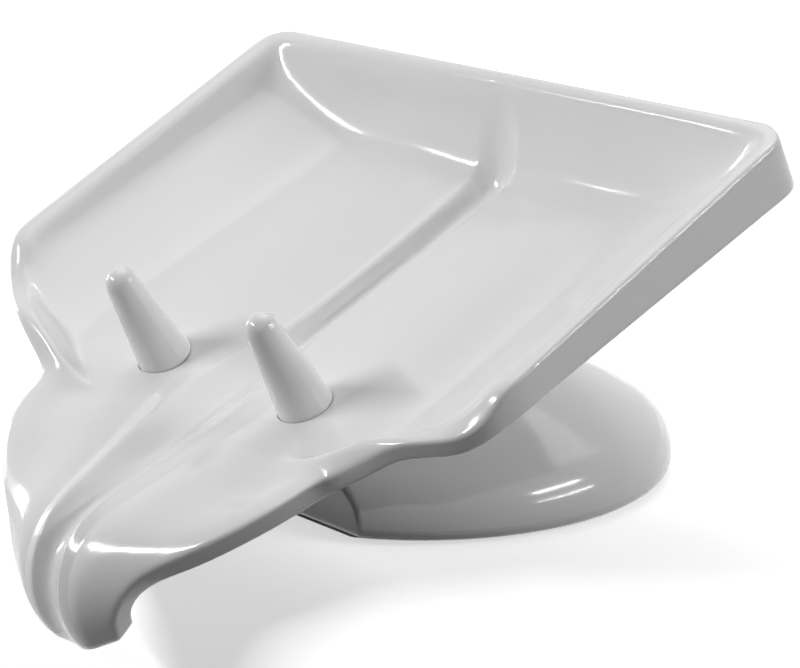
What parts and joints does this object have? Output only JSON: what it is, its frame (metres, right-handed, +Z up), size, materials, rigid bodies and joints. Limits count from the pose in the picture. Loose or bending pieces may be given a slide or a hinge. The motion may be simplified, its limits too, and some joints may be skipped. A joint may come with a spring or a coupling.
{
  "type": "soap dish",
  "caption": "Self-draining soap dish: fluted sloping tray with raised sides, soap pegs and a curled pouring lip, on a domed foot with a soft sole",
  "frame": {"origin": "centre of the foot's round outline, on the surface the sole stands on", "axes": "+Z up, -Y to the front where the lip pours, +X to the right seen from the front"},
  "size_m": [0.105, 0.0998, 0.0654],
  "materials": {
    "tray_plastic": "high gloss white moulding",
    "peg_plastic": "high gloss white moulding",
    "base_plastic": "high gloss white moulding",
    "screw_steel": "bright zinc plated",
    "sole_rubber": "matt pale grey soft foam rubber"
  },
  "bodies": {
    "root": {"tray": "tray_plastic", "left_peg": "peg_plastic", "right_peg": "peg_plastic", "base_shell": "base_plastic", "base_screws": "screw_steel", "base_sole": "sole_rubber"}
  },
  "joints": []
}
